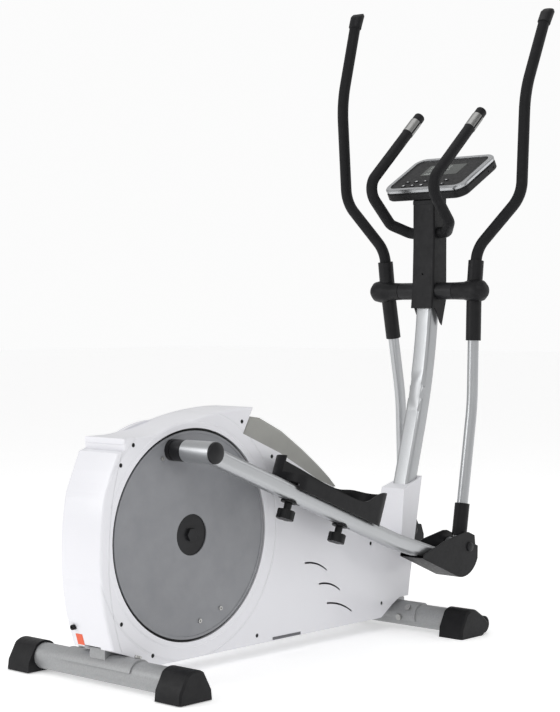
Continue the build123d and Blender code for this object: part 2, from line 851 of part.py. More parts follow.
# swing arms ------------------------------------------------------------------------------------
grip_radius = 15.0
tube_radius = 14.5
pin_radius = 8.0
for hand, side in SIDES:
    hub_axis = barrel(swing_x, swing_z, side, hub_inner, 173.5, axle_radius + running)
    upper = swing_point(side, 8, 0, hub_y)
    upper_end = swing_point(side, 8, 81, hub_y)
    lower = swing_point(side, 8, 0, hub_y)
    lower_bend = swing_point(side, 29, -300, 149)
    fall = (lower_bend - lower).normalized()
    foot = swing_point(side, 0, -swing_length, pivot_y)
    grip_start = swing_point(side, 8, 35, hub_y)
    tube_start = lower + fall * 32
    with BuildPart() as swing_hub:
        add(
            turned(
                swing_x,
                swing_z,
                side,
                [
                    (hub_inner, 0),
                    (hub_inner, collar_radius),
                    (120, 24),
                    (140, 29),
                    (163, 30),
                    (178, 27),
                    (188, 18),
                    (193, 0),
                ],
            )
        )
        add(rod(upper, upper_end, 20.5))
        add(rod(lower, lower + fall * 131, 20))
        add(hub_axis, mode=Mode.SUBTRACT)
        add(rod(grip_start, upper_end + (upper_end - upper), grip_radius), mode=Mode.SUBTRACT)
        add(rod(tube_start, lower + fall * 200, tube_radius), mode=Mode.SUBTRACT)
    save(swing_hub, f"swing_hub_{hand}")

    tip = swing_point(side, 110, 775, 252)
    shoulder = swing_point(side, 18, 525, 260)
    climb = (tip - shoulder).normalized()
    cap_foot = tip - climb * 50
    with BuildPart() as handlebar:
        add(
            bent_rod(
                [
                    grip_start,
                    swing_point(side, 8, 112, hub_y),
                    swing_point(side, 15, 250, 272),
                    shoulder,
                    cap_foot,
                ],
                (80, 90, 300),
                grip_radius,
            )
        )
        add(rod(cap_foot, cap_foot + climb * 42, 17.5, 19))
        add(rod(cap_foot + climb * 42, tip, 19, 14))
    save(handlebar, f"handlebar_{hand}")

    tube_line = [tube_start, lower_bend, foot]
    with BuildPart() as swing_tube:
        add(bent_rod(tube_line, (600,), tube_radius))
        add(bent_rod(tube_line, (600,), tube_radius - 2), mode=Mode.SUBTRACT)
        qx, qz = knee(side)
        add(barrel(qx, qz, side, pivot_y - 26, pivot_y + 26, 19))
        add(barrel(qx, qz, side, pivot_y - 30, pivot_y + 30, pin_radius + running), mode=Mode.SUBTRACT)
    save(swing_tube, f"swing_tube_{hand}")

    rise = (lower_bend - foot).normalized()
    with BuildPart() as swing_sleeve:
        add(rod(foot + rise * 26, foot + rise * 111, 19.5))
        add(rod(foot + rise * 20, foot + rise * 120, tube_radius), mode=Mode.SUBTRACT)
    save(swing_sleeve, f"swing_sleeve_{hand}")

# pedal arms ------------------------------------------------------------------------------------
arm_width, arm_height, arm_round, arm_wall = 38.0, 40.0, 13.0, 2.5
front_drop = -45.0
tube_outer, tube_bore = 25.0, 22.0
fork_inner, fork_outer = 27.0, 31.0
slot_places = (307.0, 505.0)
travel = 30.0
stem_radius = 5.0


def arm_out(along):
    """Distance of a pedal arm's centre line from the middle of the machine, on its rear run."""
    return arm_pin_y + (161.0 - arm_pin_y) * along / hypot(bend_along, bend_drop)


def arm_bar(side, start, width, height, corner):
    """Closed bar along the line of a pedal arm, from a fraction of its rear run."""
    first = arm_point(side, 0, 0, arm_pin_y)
    bend = arm_point(side, bend_along, bend_drop, 161)
    last = arm_point(side, arm_end, front_drop, pivot_y)
    with BuildPart() as bar:
        with BuildLine() as path:
            FilletPolyline(first + (bend - first) * start, bend, last, radius=400)
        with BuildSketch(Plane(origin=path.line @ 0, x_dir=(0, 1, 0), z_dir=path.line % 0)):
            RectangleRounded(width, height, corner)
        sweep()
    return bar.part


for hand, side in SIDES:
    px, pz = pin(side)
    qx, qz = knee(side)
    with BuildPart() as pedal_arm:
        add(arm_bar(side, 0, arm_width, arm_height, arm_round))
        add(arm_bar(side, -0.05, arm_width - 5, arm_height - 5, arm_round - 2.5), mode=Mode.SUBTRACT)
        add(barrel(px, pz, side, 114, 201, tube_outer))
        add(barrel(px, pz, side, 100, 198, tube_bore), mode=Mode.SUBTRACT)
        with BuildSketch(arm_side(side, pivot_y - fork_outer)):
            Polygon((968, -62), (1004, -62), (1022, -42), (1022, -25), (968, -25), align=None)
        extrude(amount=-side * 2 * fork_outer)
        for cheek in (-fork_outer, fork_inner):
            with BuildSketch(arm_side(side, pivot_y + cheek)):
                Polygon((968, -62), (1004, -62), (1022, -42), (1018, 0), (978, 0), align=None)
                with Locations((arm_length, 0)):
                    Circle(20)
            extrude(amount=-side * (fork_outer - fork_inner))
        add(barrel(qx, qz, side, 100, 220, pin_radius), mode=Mode.SUBTRACT)
        for along in slot_places:
            with BuildSketch(deck(side, -arm_height)):
                with Locations((along, side * arm_out(along))):
                    SlotCenterToCenter(2 * travel + 4, 2 * stem_radius + 1.5)
            extrude(amount=2 * arm_height, mode=Mode.SUBTRACT)
    save(pedal_arm, f"pedal_arm_{hand}")

    with BuildPart() as fork_cover:
        with BuildSketch(arm_side(side, pivot_y - 37)):
            with BuildLine():
                Line((812, -69.5), (975, -84))
                ThreePointArc((975, -84), (1024, -62), (1043, -20))
                Polyline(
                    (1043, -20), (1034, 11), (1022, 12), (1012, 34), (984, 36), (968, 32), (890, -8), (812, -62), (812, -69.5)
                )
            make_face()
        extrude(amount=-side * 74)
        with BuildSketch(arm_side(side, pivot_y - 33)):
            with BuildLine():
                Line((790, -66.5), (974, -79))
                ThreePointArc((974, -79), (1020, -59), (1038, -20))
                Polyline((1038, -20), (1027, 14), (1027, 60), (790, 60), (790, -66.5))
            make_face()
        extrude(amount=-side * 66, mode=Mode.SUBTRACT)
        add(barrel(qx, qz, side, 100, 220, pin_radius), mode=Mode.SUBTRACT)
    save(fork_cover, f"fork_cover_{hand}")

    with BuildPart() as arm_fittings:
        add(barrel(px, pz, side, 80, 114, boss_radius))
        add(turned(px, pz, side, [(201, 0), (201, tube_outer), (206, 24), (209, 18), (210.5, 0)]))
        add(barrel(qx, qz, side, pivot_y - 38, pivot_y + 38, pin_radius))
        add(turned(qx, qz, side, [(192, 0), (192, 13), (196, 12), (198, 8), (198, 0)]))
        add(turned(qx, qz, side, [(112, 0), (112, 8), (114, 12), (118, 13), (118, 0)]))
    save(arm_fittings, f"arm_fittings_{hand}")

# footplates and their clamp knobs --------------------------------------------------------------
plate_start, plate_end = 285.0, 640.0
plate_inner, plate_outer = 90.0, 195.0
floor_low, floor_high = 28.0, 34.0
rim = 4.0
skirt = 10.0
plate_mid_u = (plate_start + plate_end) / 2
plate_mid_y = (plate_inner + plate_outer) / 2


def deck_pad(side, inset, low, high, corner):
    """Rounded block in the footplate outline drawn in by the inset, between two heights."""
    with BuildPart() as block:
        with BuildSketch(deck(side, low)):
            with Locations((plate_mid_u, side * plate_mid_y)):
                RectangleRounded(
                    plate_end - plate_start - 2 * inset, plate_outer - plate_inner - 2 * inset, corner
                )
        extrude(amount=high - low)
    return block.part


def deck_post(side, along, low, high, radius, tip=None):
    """Round post square to the deck, on the centre line of the pedal arm."""
    out = side * arm_out(along)
    return rod(
        deck(side, low).from_local_coords((along, out, 0)), deck(side, high).from_local_coords((along, out, 0)), radius, tip
    )


def above_rim(side, inner, outer, profile):
    """Block of space above a rim line, between two distances from the middle."""
    base = deck(side, 0)
    face = Plane(origin=base.origin + Vector(0, side * inner, 0), x_dir=base.x_dir, z_dir=(0, -1, 0))
    with BuildPart() as block:
        with BuildSketch(face):
            with BuildLine():
                Spline(*profile)
                Polyline(profile[-1], (760, 160), (240, 160), profile[0])
            make_face()
        extrude(amount=-side * (outer - inner))
    return block.part


inner_rim = [(240, 80), (290, 84), (350, 84), (430, 80), (500, 76), (560, 80), (605, 92), (640, 94), (740, 80)]
outer_rim = [(240, 42), (300, 44), (400, 45), (500, 46), (550, 54), (580, 78), (605, 92), (640, 94), (740, 80)]
for hand, side in SIDES:
    with BuildPart() as footplate:
        add(deck_pad(side, 0, skirt, 110, 40))
        add(deck_pad(side, rim, floor_high, 120, 36), mode=Mode.SUBTRACT)
        add(deck_pad(side, rim, 0, floor_low, 36), mode=Mode.SUBTRACT)
        add(above_rim(side, plate_inner - 5, plate_mid_y, inner_rim), mode=Mode.SUBTRACT)
        add(above_rim(side, plate_mid_y, plate_outer + 5, outer_rim), mode=Mode.SUBTRACT)
        with BuildSketch(deck(side, 0)):
            with Locations((plate_mid_u, side * 165)):
                Rectangle(600, 48)
        extrude(amount=24, mode=Mode.SUBTRACT)
        for row in range(-4, 5):
            with BuildSketch(deck(side, floor_high)):
                with Locations((plate_mid_u - 10, side * (plate_mid_y + row * 9))):
                    SlotOverall(230, 2.5)
            extrude(amount=1.2)
        for along in slot_places:
            add(deck_post(side, along, arm_height / 2 + 0.3, floor_low + 2, 11))
            add(deck_post(side, along, 0, floor_low - 1, stem_radius + running), mode=Mode.SUBTRACT)
            add(deck_post(side, along, -24.5, -20.3, 19))
            add(deck_post(side, along, -30, -15, stem_radius + running), mode=Mode.SUBTRACT)
    save(footplate, f"footplate_{hand}")

    for place, along in zip(("rear", "front"), slot_places):
        with BuildPart() as knob:
            add(deck_post(side, along, -30, 26, stem_radius))
            add(deck_post(side, along, -44, -24.8, 9))
            add(deck_post(side, along, -64, -42, 21))
            with BuildSketch(deck(side, -70)):
                with Locations((along, side * arm_out(along))):
                    with PolarLocations(24, 6):
                        Circle(6)
            extrude(amount=34, mode=Mode.SUBTRACT)
        save(knob, f"knob_{place}_{hand}")
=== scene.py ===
import bpy
import bmesh
import json
from math import cos, pi, radians, sin
from mathutils import Matrix, Vector


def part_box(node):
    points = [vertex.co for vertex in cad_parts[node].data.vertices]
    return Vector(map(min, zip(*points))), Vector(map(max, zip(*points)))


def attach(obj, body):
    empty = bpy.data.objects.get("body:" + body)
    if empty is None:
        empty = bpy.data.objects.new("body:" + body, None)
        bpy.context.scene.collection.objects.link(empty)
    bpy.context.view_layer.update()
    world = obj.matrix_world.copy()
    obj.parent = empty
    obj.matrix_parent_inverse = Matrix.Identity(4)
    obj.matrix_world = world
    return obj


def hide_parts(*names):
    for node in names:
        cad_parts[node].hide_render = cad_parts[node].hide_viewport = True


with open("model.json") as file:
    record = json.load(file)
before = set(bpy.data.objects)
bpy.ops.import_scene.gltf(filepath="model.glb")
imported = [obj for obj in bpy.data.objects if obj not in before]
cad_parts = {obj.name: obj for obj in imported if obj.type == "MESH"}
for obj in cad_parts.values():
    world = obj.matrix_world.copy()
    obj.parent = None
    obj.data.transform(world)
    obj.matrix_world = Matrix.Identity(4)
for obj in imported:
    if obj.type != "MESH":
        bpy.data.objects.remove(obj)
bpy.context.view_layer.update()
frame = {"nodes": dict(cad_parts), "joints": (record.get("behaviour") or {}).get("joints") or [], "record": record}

NODES = frame["nodes"]
BODY_OF = {node: body for body, nodes in frame["record"]["behaviour"]["bodies"].items() for node in nodes}
JOINTS = {joint["name"]: joint for joint in frame["joints"]}
SLOT_OF = {part["node"]: part["material_slot"] for part in frame["record"]["subparts"]}
HANDS = ("left", "right")
SIDE = {"left": 1, "right": -1}
MM = 0.001
CRANK = Vector(JOINTS["crank_spin"]["pos_m"])


# materials ----------------------------------------------------------------------------------------
class Recipe:
    """One procedural material, in the piece's own space, built around a Principled surface."""

    def __init__(self, name, **sockets):
        self.material = bpy.data.materials.new(name)
        self.material.use_nodes = True
        self.tree = self.material.node_tree
        self.surface = self.tree.nodes["Principled BSDF"]
        self.space = self.add("ShaderNodeTexCoord").outputs["Object"]
        for socket, value in sockets.items():
            self.surface.inputs[socket.replace("_", " ")].default_value = value

    def add(self, kind, **settings):
        node = self.tree.nodes.new(kind)
        for name, value in settings.items():
            setattr(node, name, value)
        return node

    def join(self, source, target):
        self.tree.links.new(source, target)

    def noise(self, size, detail=3.0, rough=0.55, stretch=(1, 1, 1)):
        """Noise with features of a given size in metres, drawn out along the axes by the stretch."""
        mapping = self.add("ShaderNodeMapping")
        mapping.inputs["Scale"].default_value = [1 / (size * s) for s in stretch]
        self.join(self.space, mapping.inputs["Vector"])
        noise = self.add("ShaderNodeTexNoise")
        noise.inputs["Scale"].default_value = 1.0
        noise.inputs["Detail"].default_value = detail
        noise.inputs["Roughness"].default_value = rough
        self.join(mapping.outputs["Vector"], noise.inputs["Vector"])
        return noise.outputs["Fac"]

    def cells(self, size, feature="F1"):
        """Cell pattern with cells of a given size in metres."""
        cells = self.add("ShaderNodeTexVoronoi", feature=feature)
        cells.inputs["Scale"].default_value = 1 / size
        self.join(self.space, cells.inputs["Vector"])
        return cells.outputs["Distance"]

    def math(self, operation, first, second=0.0):
        node = self.add("ShaderNodeMath", operation=operation)
        for value, socket in zip((first, second), node.inputs):
            if isinstance(value, (int, float)):
                socket.default_value = value
            else:
                self.join(value, socket)
        return node.outputs[0]

    def spread(self, source, low, high, start=0.3, stop=0.7):
        """Source from start to stop carried to the range from low to high."""
        node = self.add("ShaderNodeMapRange")
        node.inputs["From Min"].default_value = start
        node.inputs["From Max"].default_value = stop
        node.inputs["To Min"].default_value = low
        node.inputs["To Max"].default_value = high
        self.join(source, node.inputs["Value"])
        return node.outputs["Result"]

    def colour(self, dark, light, factor):
        mix = self.add("ShaderNodeMix", data_type="RGBA")
        mix.inputs["A"].default_value = (*dark, 1)
        mix.inputs["B"].default_value = (*light, 1)
        self.join(factor, mix.inputs["Factor"])
        self.join(mix.outputs["Result"], self.surface.inputs["Base Color"])

    def rough(self, source, low, high):
        self.join(self.spread(source, low, high), self.surface.inputs["Roughness"])

    def relief(self, *layers):
        """Bumps laid over one another, each a height and the depth in metres of its full range."""
        below = None
        for height, depth in layers:
            bump = self.add("ShaderNodeBump")
            bump.inputs["Strength"].default_value = 1.0
            bump.inputs["Distance"].default_value = depth
            self.join(height, bump.inputs["Height"])
            if below:
                self.join(below, bump.inputs["Normal"])
            below = bump.outputs["Normal"]
        self.join(below, self.surface.inputs["Normal"])

    def ring(self, x, z, radius, width):
        """One on a circle about a crosswise axis, falling to nothing over the width."""
        parts = self.add("ShaderNodeSeparateXYZ")
        self.join(self.space, parts.inputs["Vector"])
        across = self.math("POWER", self.math("SUBTRACT", parts.outputs["X"], x), 2.0)
        upward = self.math("POWER", self.math("SUBTRACT", parts.outputs["Z"], z), 2.0)
        reach = self.math("SQRT", self.math("ADD", across, upward))
        off = self.math("ABSOLUTE", self.math("SUBTRACT", reach, radius))
        return self.spread(off, 1.0, 0.0, 0.0, width)


def gloss_shell():
    """White moulded shell: clear gloss, a faint orange peel and two long moulded grooves."""
    skin = Recipe("shell_white", Coat_Weight=0.2, Coat_Roughness=0.12, IOR=1.5)
    crank = JOINTS["crank_spin"]["pos_m"]
    skin.colour((0.775, 0.775, 0.81), (0.785, 0.785, 0.82), skin.spread(skin.noise(0.12, 4), 0, 1))
    skin.rough(skin.noise(0.05, 1), 0.28, 0.30)
    peel = skin.noise(0.004, 1)
    around_disc = skin.ring(crank[0], crank[2], radius=0.283, width=0.0035)
    along_front = skin.ring(crank[0] + 0.371, crank[2] - 0.024, radius=0.622, width=0.0012)
    skin.relief((peel, 0.00001), (around_disc, -0.0012), (along_front, -0.0009))
    return skin.material


def satin_plastic(name, dark, light, low=0.30, high=0.42, grain=0.0009, gloss=0.5):
    skin = Recipe(name, IOR=1.48, Specular_IOR_Level=gloss)
    skin.colour(dark, light, skin.spread(skin.noise(0.05, 5), 0, 1))
    skin.rough(skin.noise(0.012, 4), low, high)
    skin.relief((skin.noise(grain, 2), 0.00004), (skin.noise(0.02, 2), 0.00008))
    return skin.material


def silver_paint():
    """Silver powder coat: fine metal flake under a soft clear coat."""
    skin = Recipe("tube_silver", Metallic=0.85, Coat_Weight=0.15, Coat_Roughness=0.2)
    flake = skin.cells(0.0007)
    skin.colour((0.42, 0.43, 0.44), (0.52, 0.53, 0.545), skin.spread(flake, 1, 0, 0.1, 0.7))
    skin.rough(skin.noise(0.03, 3), 0.30, 0.36)
    skin.relief((skin.noise(0.0016, 3), 0.00002))
    return skin.material


def grey_paint():
    """Hammered grey enamel of the foot tubes and the frame."""
    skin = Recipe("frame_grey", Metallic=0.25, Coat_Weight=0.2, Coat_Roughness=0.3)
    skin.colour((0.29, 0.295, 0.30), (0.35, 0.355, 0.36), skin.spread(skin.noise(0.004, 4), 0, 1))
    skin.rough(skin.noise(0.01, 4), 0.34, 0.48)
    skin.relief((skin.noise(0.0022, 3), 0.00004))
    return skin.material


def grained_plastic(name="plastic_black", dark=(0.007, 0.007, 0.008), light=(0.012, 0.012, 0.013)):
    """Black moulded plastic with a leather-like mould grain."""
    skin = Recipe(name, IOR=1.47, Specular_IOR_Level=0.22)
    skin.colour(dark, light, skin.spread(skin.noise(0.03, 5), 0, 1))
    skin.rough(skin.noise(0.008, 4), 0.36, 0.52)
    skin.relief((skin.cells(0.0011, "SMOOTH_F1"), 0.00009), (skin.noise(0.006, 3), 0.00008))
    return skin.material


def foam():
    """Closed-cell foam sleeve: fine open pores, a faint sheen and roughness that varies at random."""
    skin = Recipe("foam_black", IOR=1.42, Specular_IOR_Level=0.2, Sheen_Weight=0.02, Sheen_Roughness=0.5)
    pores = skin.cells(0.0013)
    skin.colour((0.005, 0.005, 0.006), (0.010, 0.010, 0.011), skin.spread(pores, 0, 1, 0.0, 0.6))
    skin.rough(skin.noise(0.02, 5), 0.46, 0.66)
    skin.relief((pores, 0.00018), (skin.noise(0.012, 3), 0.0003))
    return skin.material


def rubber():
    skin = Recipe("tread_black", IOR=1.5, Specular_IOR_Level=0.2)
    skin.colour((0.008, 0.008, 0.008), (0.016, 0.016, 0.016), skin.spread(skin.noise(0.012, 6), 0, 1))
    skin.rough(skin.noise(0.006, 4), 0.6, 0.82)
    skin.relief((skin.noise(0.0012, 4), 0.00014))
    return skin.material


def turned_steel(name="steel", tone=0.50, low=0.26, high=0.34):
    """Zinc-plated steel with fine turning marks and dull patches."""
    skin = Recipe(name, Metallic=1.0)
    marks = skin.noise(0.0008, 2, 0.5, (1, 12, 1))
    skin.colour((tone * 0.9, tone * 0.9, tone * 0.88), (tone, tone, tone * 0.98), skin.spread(marks, 0, 1))
    skin.rough(skin.noise(0.01, 2), low, high)
    skin.relief((marks, 0.000004))
    return skin.material


def cast_iron():
    skin = Recipe("iron", Metallic=0.6)
    skin.colour((0.05, 0.05, 0.052), (0.10, 0.10, 0.10), skin.spread(skin.noise(0.006, 6), 0, 1))
    skin.rough(skin.noise(0.004, 4), 0.5, 0.7)
    skin.relief((skin.noise(0.0025, 5), 0.0003))
    return skin.material


def bezel_lacquer():
    """Silver lacquer with fine brushing across the console."""
    skin = Recipe("bezel_silver", Metallic=0.85, Coat_Weight=0.5, Coat_Roughness=0.12)
    lines = skin.noise(0.0006, 2, 0.5, (1, 40, 1))
    skin.colour((0.38, 0.39, 0.40), (0.46, 0.47, 0.485), skin.spread(lines, 0, 1))
    skin.rough(skin.noise(0.02, 2), 0.20, 0.28)
    skin.relief((lines, 0.000003))
    return skin.material


def display_glass():
    """Dark liquid crystal window with a faint green cast and finger haze."""
    skin = Recipe("display", IOR=1.52, Specular_IOR_Level=0.3, Coat_Weight=0.15, Coat_Roughness=0.04)
    skin.colour((0.030, 0.036, 0.032), (0.050, 0.058, 0.052), skin.spread(skin.noise(0.03, 4), 0, 1))
    skin.rough(skin.noise(0.02, 5), 0.06, 0.16)
    skin.relief((skin.noise(0.02, 1), 0.00003))
    return skin.material


def ink(name, dark, light, low=0.4, high=0.6):
    """Printed or moulded mark."""
    skin = Recipe(name)
    skin.colour(dark, light, skin.spread(skin.noise(0.002, 3), 0, 1))
    skin.rough(skin.noise(0.003, 3), low, high)
    skin.relief((skin.noise(0.0008, 2), 0.00002))
    return skin.material


MATERIALS = {
    "shell_white": gloss_shell(),
    "cover_grey": satin_plastic("cover_grey", (0.30, 0.30, 0.28), (0.33, 0.33, 0.31)),
    "disc_grey": satin_plastic("disc_grey", (0.215, 0.22, 0.235), (0.245, 0.25, 0.265), 0.28, 0.38, 0.0006),
    "tube_silver": silver_paint(),
    "frame_grey": grey_paint(),
    "plastic_black": grained_plastic(),
    "foam_black": foam(),
    "tread_black": rubber(),
    "steel": turned_steel(),
    "paint_black": satin_plastic(
        "paint_black", (0.010, 0.010, 0.011), (0.016, 0.016, 0.018), grain=0.0012, gloss=0.25
    ),
    "iron": cast_iron(),
    "bezel_silver": bezel_lacquer(),
    "display": display_glass(),
    "key_black": grained_plastic("key_black", (0.02, 0.02, 0.022), (0.035, 0.035, 0.038)),
}


# finished copies of the frame's nodes ---------------------------------------------------------------
# width in metres of the rounded edges of each slot
EDGE = {
    "shell_white": 0.0016,
    "cover_grey": 0.0016,
    "disc_grey": 0.0008,
    "tube_silver": 0.0008,
    "frame_grey": 0.0010,
    "plastic_black": 0.0012,
    "foam_black": 0.0020,
    "tread_black": 0.0008,
    "steel": 0.0006,
    "paint_black": 0.0012,
    "iron": 0.0010,
    "bezel_silver": 0.0005,
    "display": 0.0004,
    "key_black": 0.0006,
}
SHARP_EDGE = radians(32)
FLAT_JOIN = radians(0.6)
SAME_PLACE = 2e-6


def piece_of(name, mesh, body, *materials):
    """Puts a mesh in the scene as a piece that rides on a body."""
    piece = bpy.data.objects.new(name, mesh)
    bpy.context.scene.collection.objects.link(piece)
    for material in materials:
        mesh.materials.append(material)
    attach(piece, body)
    return piece


def round_edges(piece, width):
    bevel = piece.modifiers.new("edges", "BEVEL")
    bevel.width = width
    bevel.segments = 2
    bevel.limit_method = "ANGLE"
    bevel.angle_limit = SHARP_EDGE
    bevel.harden_normals = True
    bevel.miter_outer = "MITER_ARC"


def finished(node, looks=(), pick=None, shape=None):
    """Copy of a CAD node with rounded edges and smooth curved faces, which stands in for the node.

    Pick tells the look of a face from its middle, and shape moves a point.
    """
    slot = SLOT_OF[node]
    mesh = NODES[node].data.copy()
    mesh.materials.clear()
    work = bmesh.new()
    work.from_mesh(mesh)
    bmesh.ops.remove_doubles(work, verts=work.verts, dist=SAME_PLACE)
    bmesh.ops.dissolve_limit(work, angle_limit=FLAT_JOIN, verts=work.verts, edges=work.edges)
    for face in work.faces:
        face.smooth = True
        face.material_index = pick(face.calc_center_median()) if pick else 0
    for vert in work.verts if shape else ():
        vert.co = shape(vert.co)
    work.to_mesh(mesh)
    work.free()
    if "custom_normal" in mesh.attributes:
        mesh.attributes.remove(mesh.attributes["custom_normal"])
    piece = piece_of(node + "_finish", mesh, BODY_OF[node], *(looks or (MATERIALS[slot],)))
    round_edges(piece, EDGE[slot])
    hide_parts(node)


CAP_TALL = 46 * MM
CAP_LEAN = 5 * MM
CAP_SLANT = 17 * MM
CAP_CORE = 20 * MM
HOUSING_HALF = 67.5 * MM
GRIPS = [f"handlebar_{hand}" for hand in HANDS]


def side_screw(place):
    """Tells the screws within the width of the housing from the rest."""
    return 1 if abs(place.y) < HOUSING_HALF else 0


def cap_height(node):
    """Height at which the moulded end cap of a handlebar starts."""
    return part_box(node)[1].z - CAP_TALL


def cap_ends(node):
    """Rearmost and foremost x of the upper part of an end cap."""
    middle = cap_height(node) + CAP_CORE
    end = [vert.co.x for vert in NODES[node].data.vertices if vert.co.z > middle]
    return min(end), max(end)


def grip_cap(node):
    """Tells the moulded end cap of a handlebar from its foam."""
    start = cap_height(node)
    return lambda place: 1 if place.z > start else 0


def flared_cap(node):
    """Leans the end cap forward and slants its top down to the rear, like a thumb rest."""
    start = cap_height(node)
    rear, ahead = cap_ends(node)

    def moved(place):
        rise = (place.z - start) / CAP_TALL
        if rise <= 0:
            return place
        back = min(1, max(0, (ahead - place.x) / (ahead - rear)))
        lean = CAP_LEAN * rise * rise * (1 - back)
        drop = CAP_SLANT * rise * back
        return Vector((place.x + lean, place.y, place.z - drop))

    return moved


for node in NODES:
    own_look = MATERIALS[SLOT_OF[node]]
    if node in GRIPS:
        finished(node, (own_look, MATERIALS["plastic_black"]), grip_cap(node), flared_cap(node))
    elif node == "pulse_plates":
        finished(node, (turned_steel("pulse_steel", 0.30, 0.30, 0.40),))
    elif node == "crank_axle":
        finished(node, (MATERIALS["paint_black"],))
    elif node == "base_screws":
        finished(node, (own_look, MATERIALS["paint_black"]), side_screw)
    else:
        finished(node)


# small pieces on the outside --------------------------------------------------------------------------
def slabs(blocks):
    """Mesh of small blocks, each a centre and three half-axes."""
    mesh = bpy.data.meshes.new("slabs")
    work = bmesh.new()
    for centre, right, up, out in blocks:
        matrix = Matrix((right * 2, up * 2, out * 2)).transposed().to_4x4()
        matrix.translation = centre
        bmesh.ops.create_cube(work, size=1.0, matrix=matrix)
    bmesh.ops.recalc_face_normals(work, faces=work.faces)
    work.to_mesh(mesh)
    work.free()
    return mesh


PRESS = Vector(JOINTS["button_1_press"]["axis"]).normalized()
UP_SLOPE = Vector((PRESS.z, 0, -PRESS.x))
TO_RIGHT = Vector((0, -1, 0))


def coin(centre, sides, radius, thick):
    """Mesh of a many-sided plate lying on the slope of the console."""
    mesh = bpy.data.meshes.new("coin")
    work = bmesh.new()
    rims = []
    for height in (0, thick):
        rim = []
        for k in range(sides):
            turn = 2 * pi * k / sides + pi / 2
            around = TO_RIGHT * cos(turn) + UP_SLOPE * sin(turn)
            rim.append(work.verts.new(centre + around * radius + PRESS * height))
        rims.append(rim)
    work.faces.new(rims[0])
    work.faces.new(rims[1])
    for k in range(sides):
        after = (k + 1) % sides
        work.faces.new((rims[0][k], rims[0][after], rims[1][after], rims[1][k]))
    bmesh.ops.recalc_face_normals(work, faces=work.faces)
    work.to_mesh(mesh)
    work.free()
    return mesh


def crown_of(node):
    """Middle of the top face of a flat console node."""
    middle = sum(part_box(node), Vector()) / 2
    top = max(PRESS.dot(vert.co) for vert in NODES[node].data.vertices)
    return middle + PRESS * (top - PRESS.dot(middle))


DISPLAY = crown_of("console_display")
PRINT_HALF = PRESS * 0.06 * MM
# strokes of a nought: places across and up in half heights, and whether the stroke is level
NOUGHT = (
    (0, 1, True),
    (0.5, 0.5, False),
    (0.5, -0.5, False),
    (0, -1, True),
    (-0.5, -0.5, False),
    (-0.5, 0.5, False),
)
STROKE_LONG = 0.42
STROKE_THIN = 0.055
# rows of noughts: how many, first place across, place up and height in mm
READOUTS = ((3, -48, 17, 11), (2, 4, 17, 11), (3, -48, -1, 8), (3, 4, -1, 8))
FIGURE_PITCH = 0.85
# load chart in mm: first column and row, pitch of both, half size of a cell
CHART_COLUMNS = 14
CHART_LEFT, CHART_FOOT = -50, -24
COLUMN_PITCH, ROW_PITCH = 5, 3
CELL_ACROSS, CELL_UP = 1.8, 1.0
TRIANGLE, SQUARE, DISC = 3, 4, 32
KEY_SIGNS = (TRIANGLE, DISC, TRIANGLE, SQUARE, DISC, SQUARE, DISC, TRIANGLE)
SIGN_RADIUS = 3.4 * MM
SIGN_THICK = 0.15 * MM


def nought(right, up, tall):
    """Bars of a nought on the display, placed from the middle of the window."""
    half, thin = tall / 2, tall * STROKE_THIN
    blocks = []
    for across, along, level in NOUGHT:
        centre = DISPLAY + TO_RIGHT * (right + across * half) + UP_SLOPE * (up + along * half)
        sides = (half * STROKE_LONG, thin) if level else (thin, half * STROKE_LONG)
        blocks.append((centre, TO_RIGHT * sides[0], UP_SLOPE * sides[1], PRINT_HALF))
    return blocks


def display_figures():
    """Noughts and a stepped load chart of a display at rest."""
    blocks = []
    for count, start, up, tall in READOUTS:
        for place in range(count):
            blocks += nought((start + place * tall * FIGURE_PITCH) * MM, up * MM, tall * MM)
    for column in range(CHART_COLUMNS):
        for row in range(2 + (column * column) % 4):
            across = TO_RIGHT * (CHART_LEFT + column * COLUMN_PITCH) * MM
            along = UP_SLOPE * (CHART_FOOT + row * ROW_PITCH) * MM
            cell = (TO_RIGHT * CELL_ACROSS * MM, UP_SLOPE * CELL_UP * MM)
            blocks.append((DISPLAY + across + along, *cell, PRINT_HALF))
    lit = ink("display_figures", (0.40, 0.43, 0.40), (0.50, 0.53, 0.50), 0.3, 0.5)
    piece = piece_of("display_figures", slabs(blocks), "base", lit)


def key_marks():
    """Plain raised signs on the console keys."""
    light = ink("key_mark", (0.66, 0.67, 0.68), (0.74, 0.75, 0.76))
    for number, sides in enumerate(KEY_SIGNS, 1):
        key = f"button_{number}"
        mesh = coin(crown_of(key), sides, SIGN_RADIUS, SIGN_THICK)
        piece_of(f"key_mark_{number}", mesh, BODY_OF[key], light)


# blank plate: direction up the rear wall, way from the socket and half sizes in mm
REAR_WALL = Vector((-0.296, 0, 0.955))
PLATE_OFFSET = Vector((17.2, -9, -27)) * MM
PLATE_ACROSS, PLATE_UP, PLATE_OUT = 11, 13, 0.6


def blank_plate():
    """Small orange plate with no writing, below the power socket."""
    out = Vector((-REAR_WALL.z, 0, REAR_WALL.x))
    low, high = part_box("power_socket")
    centre = Vector((low.x, (low.y + high.y) / 2, (low.z + high.z) / 2)) + PLATE_OFFSET
    orange = ink("plate_orange", (0.72, 0.09, 0.03), (0.80, 0.12, 0.04), 0.3, 0.4)
    across = Vector((0, 1, 0)) * PLATE_ACROSS * MM
    mesh = slabs([(centre, across, REAR_WALL * PLATE_UP * MM, out * PLATE_OUT * MM)])
    round_edges(piece_of("blank_plate", mesh, "base", orange), 0.5 * MM)


# painted shadow ring in mm, a dark stand-in for the shade in the disc gap: radii of its rims and distances of its
# faces from the centre plane
SHADE_RING_INNER, SHADE_RING_OUTER = 233, 241.6
SHADE_RING_NEAR, SHADE_RING_FAR = 58, 61
SHADE_RING_STEPS = 128


